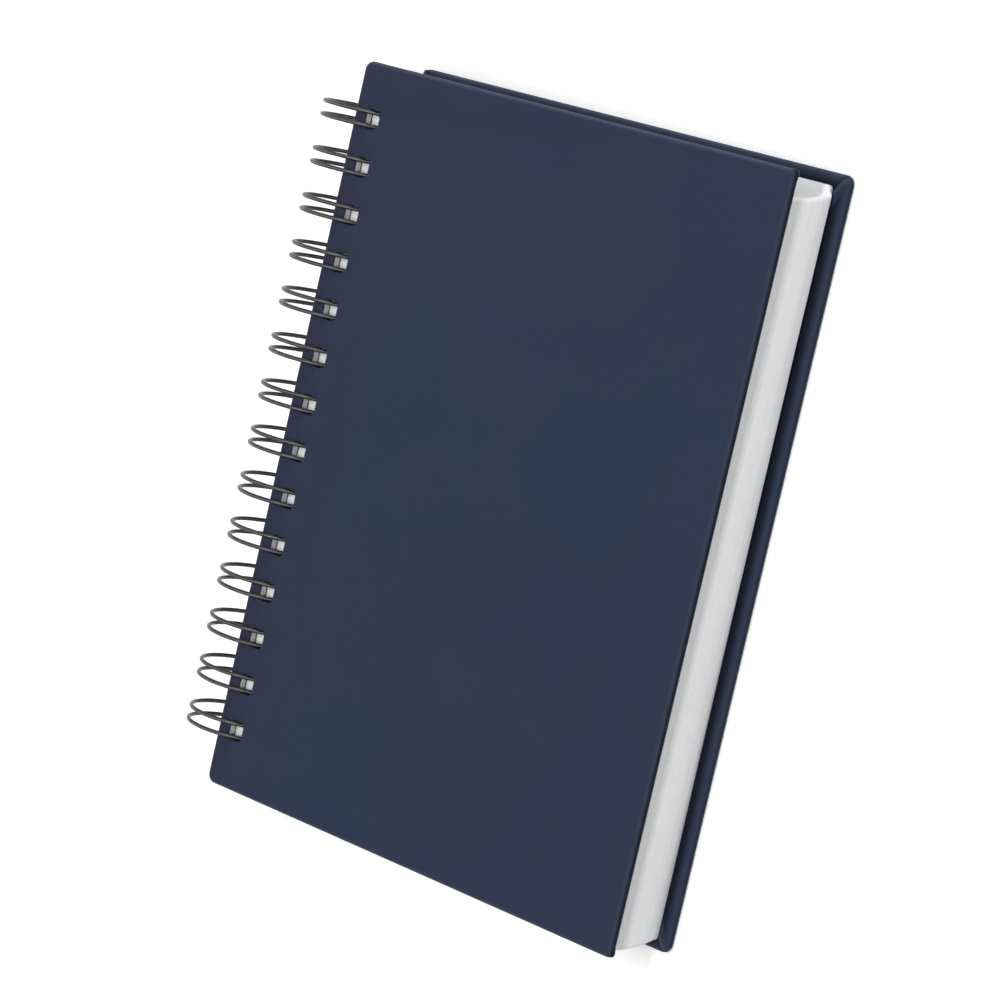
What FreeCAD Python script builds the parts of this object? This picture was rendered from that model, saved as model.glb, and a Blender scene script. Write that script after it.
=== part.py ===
import FreeCAD, Part
import math
import os
from collections import namedtuple

import Sketcher

# A wire-bound notebook with two hard covers, lying closed on its back cover.
# X runs from the spine to the fore-edge, Y from the tail to the head, and Z up through the leaves.
# The origin is at the middle of the bounding box's base, and lengths are in millimetres.

# The driving sizes, each with what it measures
SIZES = (
    ("cover_width", 147.0, "spine edge to fore-edge of a cover"),
    ("cover_height", 195.4, "tail to head of a cover"),
    ("cover_thickness", 2.35, "a finished cover, wrap and lining included"),
    ("cover_corner", 2.4, "corner radius of a cover, seen from above"),
    ("cover_edge", 0.9, "rounding of the wrap over a cover's edges"),
    ("cover_slip", 0.45, "how far each cover lies off the middle of the loops"),
    ("wrap_thickness", 0.3, "the covering material"),
    ("turn_in", 12.0, "wrap folded over the inner face"),
    ("mitre_gap", 0.25, "slit between two turn-ins at a corner"),
    ("lining_margin", 2.7, "binding slots to the lining"),
    ("slot_inset", 4.4, "spine edge of the front cover to its slots"),
    ("back_slot_inset", 3.2, "spine edge of the back cover to its slots"),
    ("slot_height", 5.4, "a slot along the spine"),
    ("slot_corner", 1.2, "corner radius of a slot"),
    ("slot_clearance", 0.4, "wire to the sides of a slot"),
    ("loop_pitch", 12.7, "middle of one twin loop to the next"),
    ("twin_spacing", 3.6, "between the two wires of a loop"),
    ("wire_diameter", 1.1, "the coated wire"),
    ("ring_headroom", 2.9, "outer face of a cover to the top of a loop"),
    ("elbow_radius", 1.1, "bend from a loop to the wire along the seam"),
    ("seam_clearance", 0.3, "wire along the seam to what lies beside it"),
    ("leaf_stack", 17.3, "thickness of all the leaves"),
    ("leaf_height", 187.6, "tail to head of a leaf"),
    ("leaf_gap", 0.3, "leaves to each cover"),
    ("leaf_inset", 3.6, "spine edge of the covers to the leaves"),
    ("leaf_recess", 2.4, "leaves to the fore-edge of the covers"),
    ("leaf_bow", 0.8, "swell of the leaves where they hang on the round wire"),
    ("front_leaf_drop", 3.5, "first leaf below the middle of the wire"),
    ("rear_leaf_drop", 1.1, "last leaf below the middle of the wire"),
    ("tall_stack", 1.2, "thickness of the last leaves, which are taller"),
    ("tall_step", 2.2, "how far those leaves stand proud at the head"),
    ("hole_margin", 3.6, "spine edge of a leaf to its holes"),
    ("hole_width", 4.6, "a leaf's hole across the spine"),
    ("hole_height", 5.4, "a leaf's hole along the spine"),
    ("cutter_reach", 2.0, "how far the cutting outlines pass the faces they cut"),
)

# Sizes that follow from the driving ones
WORKED = (
    ("half_inside", "Sizes.leaf_stack / 2 + Sizes.leaf_gap"),
    ("half_book", "half_inside + Sizes.cover_thickness"),
    ("wire_radius", "Sizes.wire_diameter / 2"),
    ("ring_radius", "half_book + Sizes.ring_headroom"),
    ("slot_near", "sqrt((ring_radius - wire_radius) ^ 2 - half_book ^ 2)"),
    ("slot_far", "sqrt((ring_radius + wire_radius) ^ 2 - half_inside ^ 2)"),
    ("slot_width", "slot_far - slot_near + 2 * Sizes.slot_clearance"),
    ("axis_outset", "slot_near - Sizes.slot_clearance - Sizes.slot_inset"),
    ("back_shift", "Sizes.slot_inset - Sizes.back_slot_inset"),
    ("fore_edge", "Sizes.cover_width + max(back_shift; 0)"),
    ("spine_x", "(axis_outset + ring_radius + wire_radius - fore_edge) / 2"),
    ("back_spine_x", "spine_x + back_shift"),
    ("axis_x", "spine_x - axis_outset"),
    ("axis_z", "ring_radius + wire_radius"),
    ("cover_room", "Sizes.cover_height - 2 * Sizes.cover_slip"),
    ("leaf_room", "Sizes.leaf_height - 2 * Sizes.front_leaf_drop"),
    ("loops_room", "min(cover_room; leaf_room) - Sizes.hole_height - 2 * Sizes.hole_margin"),
    ("loop_count", "floor(loops_room / Sizes.loop_pitch) + 1"),
    ("loops_length", "Sizes.loop_pitch * (loop_count - 1)"),
    ("first_loop_y", "0 - loops_length / 2"),
    ("seam_drop", "half_inside - Sizes.seam_clearance - wire_radius"),
    ("base_reach", "sqrt(ring_radius ^ 2 + Sizes.elbow_radius ^ 2)"),
    ("base_turn", "atan(Sizes.elbow_radius / ring_radius) - asin(seam_drop / base_reach)"),
    ("elbow_y", "Sizes.twin_spacing / 2 + Sizes.elbow_radius"),
    ("tip_space", "sqrt((elbow_y + Sizes.wire_diameter + Sizes.seam_clearance) ^ 2 - elbow_y ^ 2)"),
    ("tip_turn", "base_turn - tip_space / ring_radius * 180 deg / pi"),
    ("seam_x", "ring_radius * cos(base_turn) + Sizes.elbow_radius * sin(base_turn)"),
    ("leaf_low_z", "axis_z - Sizes.leaf_stack / 2"),
    ("leaf_left", "spine_x + Sizes.leaf_inset"),
    ("bow_radius", "((Sizes.leaf_stack / 2) ^ 2 + Sizes.leaf_bow ^ 2) / (2 * Sizes.leaf_bow)"),
    ("front_tail_y", "0 - Sizes.leaf_height / 2 - Sizes.front_leaf_drop"),
    ("rear_tail_y", "0 - Sizes.leaf_height / 2 - Sizes.rear_leaf_drop"),
    ("front_head_y", "Sizes.leaf_height / 2 - Sizes.front_leaf_drop"),
    ("rear_head_y", "Sizes.leaf_height / 2 - Sizes.rear_leaf_drop"),
    ("leaf_reach", "Sizes.leaf_height + 2 * (Sizes.front_leaf_drop + Sizes.tall_step)"),
)

document = FreeCAD.newDocument("Notebook")


# The two sheets of values
def fill_sheet(name, rows):
    sheet = document.addObject("Spreadsheet::Sheet", name)
    for row, (alias, text) in enumerate(rows, start=1):
        sheet.set(f"A{row}", alias)
        sheet.set(f"B{row}", text)
        sheet.setAlias(f"B{row}", alias)
    document.recompute()
    return sheet


fill_sheet("Sizes", [(alias, str(value)) for alias, value, measures in SIZES])
worked = fill_sheet("Worked", [(alias, "=" + formula) for alias, formula in WORKED])


def number(expression):
    value = worked.evalExpression(expression)
    return float(getattr(value, "Value", value))


# Helpers for bodies, planes and sketches
def new_body(name):
    body = document.addObject("PartDesign::Body", name)
    body.Label = name
    return body


def origin_part(body, role):
    return next(part for part in body.Origin.OriginFeatures if part.Role == role)


def new_sketch(body, name, plane, x="0", y="0", z="0"):
    sketch = body.newObject("Sketcher::SketchObject", name)
    sketch.AttachmentSupport = [(origin_part(body, plane), "")]
    sketch.MapMode = "FlatFace"
    for axis, expression in (("x", x), ("y", y), ("z", z)):
        sketch.setExpression(f"AttachmentOffset.Base.{axis}", expression)
    return sketch


def add_datum(sketch, kind, places, name, expression):
    index = sketch.addConstraint(Sketcher.Constraint(kind, *places, number(expression)))
    sketch.renameConstraint(index, name)
    sketch.setExpression(f"Constraints.{name}", expression)


def bowed_edge(start, end, radius, side):
    """Gives the arc from start to end that swells to one side, as a sketch edge."""
    chord = end - start
    middle = (start + end) / 2
    across = FreeCAD.Vector(chord.y, -chord.x, 0).normalize() * side
    rise = radius - math.sqrt(radius**2 - (chord.Length / 2) ** 2)
    return Part.Arc(start, middle + across * rise, end)


def draw_outline(sketch, label, corners, arcs=None):
    """Draws a closed outline: corners are pairs of expressions, arcs maps an edge to radius and side."""
    arcs = arcs or {}
    points = [FreeCAD.Vector(number(x), number(y), 0) for x, y in corners]
    first = sketch.GeometryCount
    count = len(points)
    ends = {}
    for edge, start in enumerate(points):
        end = points[(edge + 1) % count]
        index = first + edge
        ends[edge] = (1, 2)
        if edge in arcs:
            radius, side = arcs[edge]
            arc = bowed_edge(start, end, number(radius), side)
            index = sketch.addGeometry(arc, False)
            begins_at_start = sketch.getPoint(index, 1).distanceToPoint(start) < 1e-6
            ends[edge] = (1, 2) if begins_at_start else (2, 1)
            add_datum(sketch, "Radius", (index,), f"{label}_radius_{edge}", radius)
        else:
            sketch.addGeometry(Part.LineSegment(start, end), False)
    for edge in range(count):
        following = (edge + 1) % count
        places = (first + edge, ends[edge][1], first + following, ends[following][0])
        sketch.addConstraint(Sketcher.Constraint("Coincident", *places))
    for edge, (x, y) in enumerate(corners):
        corner = (-1, 1, first + edge, ends[edge][0])
        add_datum(sketch, "DistanceX", corner, f"{label}_x_{edge}", x)
        add_datum(sketch, "DistanceY", corner, f"{label}_y_{edge}", y)


def rounded_rectangle(sketch, label, left, right, low, high, radius):
    corners = (
        (f"{left} + {radius}", low),
        (f"{right} - {radius}", low),
        (right, f"{low} + {radius}"),
        (right, f"{high} - {radius}"),
        (f"{right} - {radius}", high),
        (f"{left} + {radius}", high),
        (left, f"{high} - {radius}"),
        (left, f"{low} + {radius}"),
    )
    draw_outline(sketch, label, corners, {edge: (radius, 1) for edge in (1, 3, 5, 7)})


def pad(body, name, sketch, length, symmetric=False):
    feature = body.newObject("PartDesign::Pad", name)
    feature.Profile = sketch
    feature.setExpression("Length", length)
    feature.SideType = "Symmetric" if symmetric else "One side"
    document.recompute()
    return feature


def pocket(body, name, sketch, length):
    """Cuts a sketch's outline to equal depths on both sides of its plane."""
    before = body.Shape.Volume
    feature = body.newObject("PartDesign::Pocket", name)
    feature.Profile = sketch
    feature.SideType = "Symmetric"
    feature.setExpression("Length", length)
    document.recompute()
    if feature.Shape.Volume >= before:
        raise ValueError(f"{name} cuts nothing")
    return feature


def round_edges(body, name, base, radius, levels):
    """Rounds every edge that lies at one of the given heights."""
    names = []
    for index, edge in enumerate(base.Shape.Edges, start=1):
        box = edge.BoundBox
        if any(abs(box.ZMin - level) < 1e-4 and abs(box.ZMax - level) < 1e-4 for level in levels):
            names.append(f"Edge{index}")
    feature = body.newObject("PartDesign::Fillet", name)
    feature.Base = (base, names)
    feature.setExpression("Radius", radius)
    document.recompute()
    return feature


def repeat_along_spine(body, name, originals):
    """Repeats features, or the whole body when there are none, at every loop."""
    pattern = body.newObject("PartDesign::LinearPattern", name)
    pattern.TransformMode = "Features" if originals else "Whole shape"
    pattern.Originals = originals
    pattern.Direction = (origin_part(body, "Y_Axis"), [""])
    pattern.Mode = "Spacing"
    pattern.setExpression("Offset", "Sizes.loop_pitch")
    pattern.setExpression("Occurrences", "Worked.loop_count")
    body.Tip = pattern
    document.recompute()
    return pattern


# The covers: a grey board, the wrap that is folded round it and the lining inside
# low is the height of the cover's lower face, inner_low that of its lining's, and inset that of its slots
Cover = namedtuple("Cover", "side low inner_low slip spine inset")
BACK = Cover(
    side="back",
    low="Worked.axis_z - Worked.half_book",
    inner_low="Worked.axis_z - Worked.half_inside - Sizes.wrap_thickness",
    slip="Sizes.cover_slip",
    spine="Worked.back_spine_x",
    inset="Sizes.back_slot_inset",
)
FRONT = Cover(
    side="front",
    low="Worked.axis_z + Worked.half_inside",
    inner_low="Worked.axis_z + Worked.half_inside",
    slip="0 - Sizes.cover_slip",
    spine="Worked.spine_x",
    inset="Sizes.slot_inset",
)


def tail_of(cover):
    return f"0 - Sizes.cover_height / 2 + {cover.slip}"


def cover_slab(cover, role, low, thickness, margin, rounding):
    """Makes a rounded slab the size of the cover less a margin all round, with its slots."""
    name = f"{cover.side}_{role}"
    body = new_body(name)
    outline = new_sketch(body, f"{name}_outline", "XY_Plane", cover.spine, tail_of(cover), low)
    right = f"Sizes.cover_width - {margin}"
    high = f"Sizes.cover_height - {margin}"
    rounded_rectangle(outline, "edge", margin, right, margin, high, f"(Sizes.cover_corner - {margin})")
    slab = pad(body, f"{name}_slab", outline, thickness)
    levels = (number(low), number(f"{low} + {thickness}"))
    round_edges(body, f"{name}_rounding", slab, rounding, levels)
    cut_slots(body, name, cover, low)
    return body


def cut_slots(body, name, cover, low):
    tail = tail_of(cover)
    slots = new_sketch(body, f"{name}_slot", "XY_Plane", cover.spine, tail, low)
    middle = f"(Worked.first_loop_y - ({tail}))"
    low_end = f"{middle} - Sizes.slot_height / 2"
    high_end = f"{middle} + Sizes.slot_height / 2"
    sides = (cover.inset, f"({cover.inset} + Worked.slot_width)")
    rounded_rectangle(slots, "slot", *sides, low_end, high_end, "Sizes.slot_corner")
    cut = pocket(body, f"{name}_first_slot", slots, "3 * Sizes.cover_thickness")
    repeat_along_spine(body, f"{name}_slots", [cut])


def lining_sheet(cover):
    name = f"{cover.side}_lining"
    body = new_body(name)
    outline = new_sketch(body, f"{name}_outline", "XY_Plane", cover.spine, tail_of(cover), cover.inner_low)
    left = f"{cover.inset} + Worked.slot_width + Sizes.lining_margin"
    right = "Sizes.cover_width - Sizes.turn_in"
    high = "Sizes.cover_height - Sizes.turn_in"
    corners = ((left, "Sizes.turn_in"), (right, "Sizes.turn_in"), (right, high), (left, high))
    draw_outline(outline, "sheet", corners)
    pad(body, f"{name}_sheet", outline, "Sizes.wrap_thickness")
    return body


def mitre_slits(cover):
    """Makes the thin boxes that part the turn-ins, one at each corner of a cover."""
    slits = []
    fore_edge = f"{cover.spine} + Sizes.cover_width"
    tail = tail_of(cover)
    head = f"Sizes.cover_height / 2 + {cover.slip}"
    places = (
        (cover.spine, tail, 45),
        (fore_edge, tail, 135),
        (fore_edge, head, 225),
        (cover.spine, head, 315),
    )
    for corner, (x, y, turn) in enumerate(places, start=1):
        slit = document.addObject("Part::Box", f"{cover.side}_mitre_{corner}")
        slit.setExpression("Length", "Sizes.turn_in * sqrt(2) + 2 * Sizes.mitre_gap")
        slit.setExpression("Width", "Sizes.mitre_gap")
        slit.setExpression("Height", "Sizes.wrap_thickness")
        half = "Sizes.mitre_gap / 2"
        x_edge = f"{x} + {half} * sin({turn} deg)"
        y_edge = f"{y} - {half} * cos({turn} deg)"
        corner_at = f"create(<<vector>>; {x_edge}; {y_edge}; {cover.inner_low})"
        turned = f"create(<<rotation>>; create(<<vector>>; 0; 0; 1); {turn})"
        slit.setExpression("Placement", f"create(<<placement>>; {corner_at}; {turned})")
        slits.append(slit)
    tool = document.addObject("Part::Compound", f"{cover.side}_mitres")
    tool.Links = slits
    return tool


def cut_away(name, base, tool):
    cut = document.addObject("Part::Cut", name)
    cut.Base = base
    cut.Tool = tool
    cut.Label = name
    document.recompute()
    return cut


def make_cover(cover):
    thickness = "Sizes.cover_thickness"
    wrap = "Sizes.wrap_thickness"
    board_low = f"{cover.low} + {wrap}"
    board = cover_slab(
        cover, "board", board_low, f"{thickness} - 2 * {wrap}", wrap, f"Sizes.cover_edge - {wrap}"
    )
    skin = cover_slab(cover, "skin", cover.low, thickness, "0", "Sizes.cover_edge")
    lining = lining_sheet(cover)
    hollow = cut_away(f"{cover.side}_skin_hollow", skin, board)
    window = cut_away(f"{cover.side}_skin_window", hollow, lining)
    wrapped = cut_away(f"{cover.side}_wrap", window, mitre_slits(cover))
    return [board, wrapped, lining]


back_cover = make_cover(BACK)
front_cover = make_cover(FRONT)


# The leaves: one stack, which leans towards the tail at the front and swells over the wire
def make_page_block():
    body = new_body("page_block")
    stack = "Sizes.leaf_stack"
    left = "Sizes.leaf_inset"
    right = "Sizes.cover_width - Sizes.leaf_recess"
    low = "Worked.leaf_low_z"
    across = new_sketch(body, "leaf_section", "XZ_Plane", "Worked.spine_x", low)
    corners = ((left, "0"), (right, "0"), (right, stack), (left, stack))
    draw_outline(across, "section", corners, {1: ("Worked.bow_radius", 1), 3: ("Worked.bow_radius", -1)})
    pad(body, "leaf_stack", across, "Worked.leaf_reach", symmetric=True)
    trim_leaf_ends(body, stack, low)
    punch_holes(body, stack, low)
    return body


def trim_leaf_ends(body, stack, low):
    """Cuts the head and the tail to the lean of the stack, with the step of the tall leaves."""
    ends = new_sketch(body, "leaf_ends", "YZ_Plane", "0", low)
    far = "(Worked.leaf_reach / 2 + Sizes.cutter_reach)"
    over = f"{stack} + Sizes.cutter_reach"
    under = "0 - Sizes.cutter_reach"
    step = "Sizes.tall_stack"
    tall_head = "Worked.rear_head_y + Sizes.tall_step"
    head = (
        (tall_head, under),
        (far, under),
        (far, over),
        ("Worked.front_head_y", over),
        ("Worked.front_head_y", stack),
        ("Worked.rear_head_y", step),
        (tall_head, step),
    )
    tail = (
        (f"0 - {far}", under),
        ("Worked.rear_tail_y", under),
        ("Worked.rear_tail_y", step),
        ("Worked.front_tail_y", stack),
        ("Worked.front_tail_y", over),
        (f"0 - {far}", over),
    )
    draw_outline(ends, "head", head)
    draw_outline(ends, "tail", tail)
    pocket(body, "leaf_end_trim", ends, "3 * Sizes.cover_width")


def punch_holes(body, stack, low):
    """Punches the row of holes, which follow the swell, and presses the hollow over the wire's seam."""
    first = "0 - Worked.first_loop_y"
    hole = new_sketch(body, "leaf_hole", "XZ_Plane", "Worked.leaf_left", low, first)
    near = "Sizes.hole_margin"
    far = "(Sizes.hole_margin + Sizes.hole_width)"
    corners = ((near, "0"), (far, "0"), (far, stack), (near, stack))
    draw_outline(hole, "hole", corners, {1: ("Worked.bow_radius", 1), 3: ("Worked.bow_radius", -1)})
    cut = pocket(body, "leaf_first_hole", hole, "Sizes.hole_height")
    repeat_along_spine(body, "leaf_holes", [cut])
    relief = new_sketch(body, "seam_hollow", "XZ_Plane", "Worked.axis_x", low)
    room = "(Worked.wire_radius + Sizes.elbow_radius + Sizes.seam_clearance)"
    seam_left = f"Worked.seam_x - {room}"
    seam_right = f"Worked.seam_x + {room}"
    roof = f"{stack} / 2 - Worked.seam_drop + Worked.wire_radius + Sizes.seam_clearance"
    floor = "0 - Sizes.cutter_reach"
    outline = ((seam_left, floor), (seam_right, floor), (seam_right, roof), (seam_left, roof))
    draw_outline(relief, "hollow", outline)
    pocket(body, "leaf_seam_hollow", relief, "2 * Worked.leaf_reach")


page_block = make_page_block()


# The binding: one wire bent into twin loops, closed where each tip meets the seam at the last leaf
def placed(x, y, z, turn, start, start_angle):
    """Gives the placement expression of a piece that is turned about the loops' axis."""
    about_axis = f"create(<<rotation>>; create(<<vector>>; 0; -1; 0); {turn})"
    first_turn = f"create(<<rotation>>; create(<<vector>>; {start}); {start_angle})"
    return f"create(<<placement>>; create(<<vector>>; {x}; {y}; {z}); {about_axis} * {first_turn})"


def add_bend(body, name, radius, sweep, placement):
    bend = body.newObject("PartDesign::AdditiveTorus", name)
    bend.setExpression("Radius1", radius)
    bend.setExpression("Radius2", "Worked.wire_radius")
    bend.setExpression("Angle3", sweep)
    bend.setExpression("Placement", placement)
    document.recompute()


def on_ring(turn):
    x = f"Worked.axis_x + Worked.ring_radius * cos({turn})"
    z = f"Worked.axis_z + Worked.ring_radius * sin({turn})"
    return x, z


def make_wire():
    """Bends half of the first twin loop, mirrors it and repeats it along the spine."""
    body = new_body("wire_binding")
    body.AllowCompound = True
    base = "Worked.base_turn"
    tip = "Worked.tip_turn"
    middle = "Worked.first_loop_y"
    half_twin = "Sizes.twin_spacing / 2"
    elbow = "Sizes.elbow_radius"

    loop_place = placed("Worked.axis_x", half_twin, "Worked.axis_z", base, "1; 0; 0", "90")
    add_bend(body, "loop_round", "Worked.ring_radius", f"360 deg - ({base} - {tip})", loop_place)

    tip_x, tip_z = on_ring(tip)
    tip_place = placed(tip_x, "0", tip_z, tip, "1; 1; 1", "120")
    add_bend(body, "loop_tip", half_twin, "90 deg", tip_place)

    base_x, base_z = on_ring(base)
    cyclic = "create(<<rotation>>; create(<<vector>>; 1; 1; 1); 120)"
    half_turn = "create(<<rotation>>; create(<<vector>>; 0; 0; 1); 180)"
    about_axis = f"create(<<rotation>>; create(<<vector>>; 0; -1; 0); {base})"
    elbow_at = f"create(<<vector>>; {base_x}; Worked.elbow_y; {base_z})"
    elbow_place = f"create(<<placement>>; {elbow_at}; {about_axis} * {cyclic} * {half_turn})"
    add_bend(body, "loop_elbow", elbow, "90 deg", elbow_place)

    run = body.newObject("PartDesign::AdditiveCylinder", "seam_run")
    run.setExpression("Radius", "Worked.wire_radius")
    run.setExpression("Height", "Sizes.loop_pitch / 2 - Worked.elbow_y")
    run_x = f"{base_x} + {elbow} * sin({base})"
    run_z = f"{base_z} - {elbow} * cos({base})"
    run.setExpression("Placement", placed(run_x, "Worked.elbow_y", run_z, "0", "1; 0; 0", "-90"))
    document.recompute()

    twin = body.newObject("PartDesign::Mirrored", "loop_twin")
    twin.TransformMode = "Whole shape"
    twin.MirrorPlane = (origin_part(body, "XZ_Plane"), [""])
    body.Tip = twin
    document.recompute()
    repeat_along_spine(body, "loop_row", [])
    body.setExpression("Placement.Base.y", middle)
    document.recompute()
    return body


wire_binding = make_wire()

# Every object is tested before anything is written
nodes = [*back_cover, page_block, wire_binding, *front_cover]
document.recompute()
for item in document.Objects:
    if "Invalid" in item.State or "Error" in item.State:
        raise ValueError(f"{item.Name} was not built: {item.State}")
for node in nodes:
    if node.Shape.isNull() or not node.Shape.isValid():
        raise ValueError(f"{node.Label} has no valid shape")

os.makedirs("parts", exist_ok=True)
for node in nodes:
    node.Shape.exportStep(f"parts/{node.Label}.step")
    box = node.Shape.BoundBox
    print(
        f"{node.Label}: {len(node.Shape.Solids)} solid, {node.Shape.Volume:.1f} mm3, "
        f"x {box.XMin:.2f} to {box.XMax:.2f}, y {box.YMin:.2f} to {box.YMax:.2f}, "
        f"z {box.ZMin:.2f} to {box.ZMax:.2f}"
    )
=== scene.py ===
import logging
import math
from dataclasses import dataclass, field
from enum import Enum
from typing import Any, Callable, Iterable, Sequence

import bmesh
import bpy
from mathutils import Matrix, Vector


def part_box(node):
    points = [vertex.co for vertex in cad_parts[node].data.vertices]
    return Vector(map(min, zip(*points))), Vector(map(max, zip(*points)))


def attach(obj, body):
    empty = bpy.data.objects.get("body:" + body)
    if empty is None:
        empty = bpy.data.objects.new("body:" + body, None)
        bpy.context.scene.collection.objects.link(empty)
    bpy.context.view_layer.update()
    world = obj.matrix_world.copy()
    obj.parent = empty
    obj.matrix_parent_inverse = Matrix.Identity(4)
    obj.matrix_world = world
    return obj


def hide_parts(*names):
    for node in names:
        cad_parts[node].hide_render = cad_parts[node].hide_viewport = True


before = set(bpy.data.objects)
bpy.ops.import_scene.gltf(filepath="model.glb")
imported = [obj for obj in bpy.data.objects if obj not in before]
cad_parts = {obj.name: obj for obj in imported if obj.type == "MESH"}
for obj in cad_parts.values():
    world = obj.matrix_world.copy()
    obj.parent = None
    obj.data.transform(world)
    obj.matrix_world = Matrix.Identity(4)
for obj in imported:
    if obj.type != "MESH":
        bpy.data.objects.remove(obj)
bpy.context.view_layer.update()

# The dressing of a closed notebook: two wrapped covers, a stack of leaves and a row of twin wire loops.
# Lengths are in metres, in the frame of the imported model.

log = logging.getLogger("notebook")
MM = 0.001
Point = tuple[float, float]
Colour = tuple[float, float, float]


class Side(Enum):
    """The two covers, with the direction from a cover's outer face to its inner face."""

    FRONT = ("front", -1)
    BACK = ("back", 1)

    @property
    def label(self) -> str:
        """Gives the word that starts the names of this cover's pieces."""
        return self.value[0]

    @property
    def inward(self) -> int:
        """Gives the sign of Z from the outer face towards the leaves."""
        return self.value[1]


class Cut(Enum):
    """Which layer of a wrap a slot passes through."""

    OUTER = "outer"
    TURN_IN = "turn_in"


# Node trees
def operator(operation: str, swapped: bool = False) -> Callable[["Value", Any], "Value"]:
    """Makes one of Python's operators from a Math node.

    Args:
        operation: the node's operation.
        swapped: whether the other value comes first.

    Returns:
        The method.
    """

    def act(self: "Value", other: Any) -> "Value":
        """Adds the node."""
        pair = (other, self) if swapped else (self, other)
        return self.tree.add("ShaderNodeMath", {"operation": operation}, dict(enumerate(pair)))

    return act


class Value:
    """A socket of a node tree that takes part in Python arithmetic."""

    def __init__(self, tree: "Tree", socket: bpy.types.NodeSocket) -> None:
        """Wraps a socket.

        Args:
            tree: the tree that the socket is in.
            socket: the output socket.
        """
        self.tree = tree
        self.socket = socket

    __add__, __radd__ = operator("ADD"), operator("ADD", True)
    __sub__, __rsub__ = operator("SUBTRACT"), operator("SUBTRACT", True)
    __mul__, __rmul__ = operator("MULTIPLY"), operator("MULTIPLY", True)
    __truediv__, __rtruediv__ = operator("DIVIDE"), operator("DIVIDE", True)
    __pow__, __rpow__ = operator("POWER"), operator("POWER", True)

    def math(self, operation: str, *others: Any) -> "Value":
        """Adds a Math node that starts from this value.

        Args:
            operation: the node's operation.
            others: its other inputs, numbers or sockets.

        Returns:
            The node's result.
        """
        values = dict(enumerate((self, *others)))
        return self.tree.add("ShaderNodeMath", {"operation": operation}, values)

    def output(self, name: str) -> "Value":
        """Gives another output of the same node."""
        return Value(self.tree, self.socket.node.outputs[name])

    def clamp(self) -> "Value":
        """Holds the value between 0 and 1."""
        return self.tree.add("ShaderNodeClamp", {}, {"Value": self})

    def between(self, low: float, high: float) -> "Value":
        """Spreads 0 to 1 over another range.

        Args:
            low: the result at 0.
            high: the result at 1.

        Returns:
            The value in that range.
        """
        return self * (high - low) + low


class Tree:
    """A shader or geometry node tree, with one method that adds any node."""

    def __init__(self, nodes: bpy.types.NodeTree) -> None:
        """Keeps the tree.

        Args:
            nodes: Blender's own node tree.
        """
        self.nodes = nodes

    def add(
        self,
        kind: str,
        settings: dict[str, Any] | None = None,
        inputs: dict[int | str, Any] | None = None,
        output: int | str = 0,
    ) -> Value:
        """Adds a node.

        Args:
            kind: the node's type name.
            settings: properties that are set first.
            inputs: values, sockets or lists of sockets, by the input's index, identifier or name.
            output: the index, identifier or name of the output to give.

        Returns:
            The chosen output.
        """
        node = self.nodes.nodes.new(kind)
        for name, value in (settings or {}).items():
            setattr(node, name, value)
        for key, value in (inputs or {}).items():
            socket = self._find(node.inputs, key)
            for source in value if isinstance(value, list) else [value]:
                if isinstance(source, Value):
                    self.nodes.links.new(source.socket, socket)
                else:
                    socket.default_value = source
        if not node.outputs:
            return Value(self, None)
        return Value(self, self._find(node.outputs, output))

    def background_share(self) -> Value:
        """Gives 1 to the rays that see the background: the camera's, and those in gloss and glass."""
        names = ("Is Camera Ray", "Is Glossy Ray", "Is Transmission Ray")
        camera, glossy, clear = (self.add("ShaderNodeLightPath", output=name) for name in names)
        return (camera + glossy + clear).clamp()

    @staticmethod
    def _find(sockets: Any, key: int | str) -> bpy.types.NodeSocket:
        """Finds a socket.

        Args:
            sockets: the node's inputs or outputs.
            key: an index, identifier or name.

        Returns:
            The socket.
        """
        if isinstance(key, int):
            return sockets[key]
        for socket in sockets:
            if socket.identifier == key:
                return socket
        return sockets[key]


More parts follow.
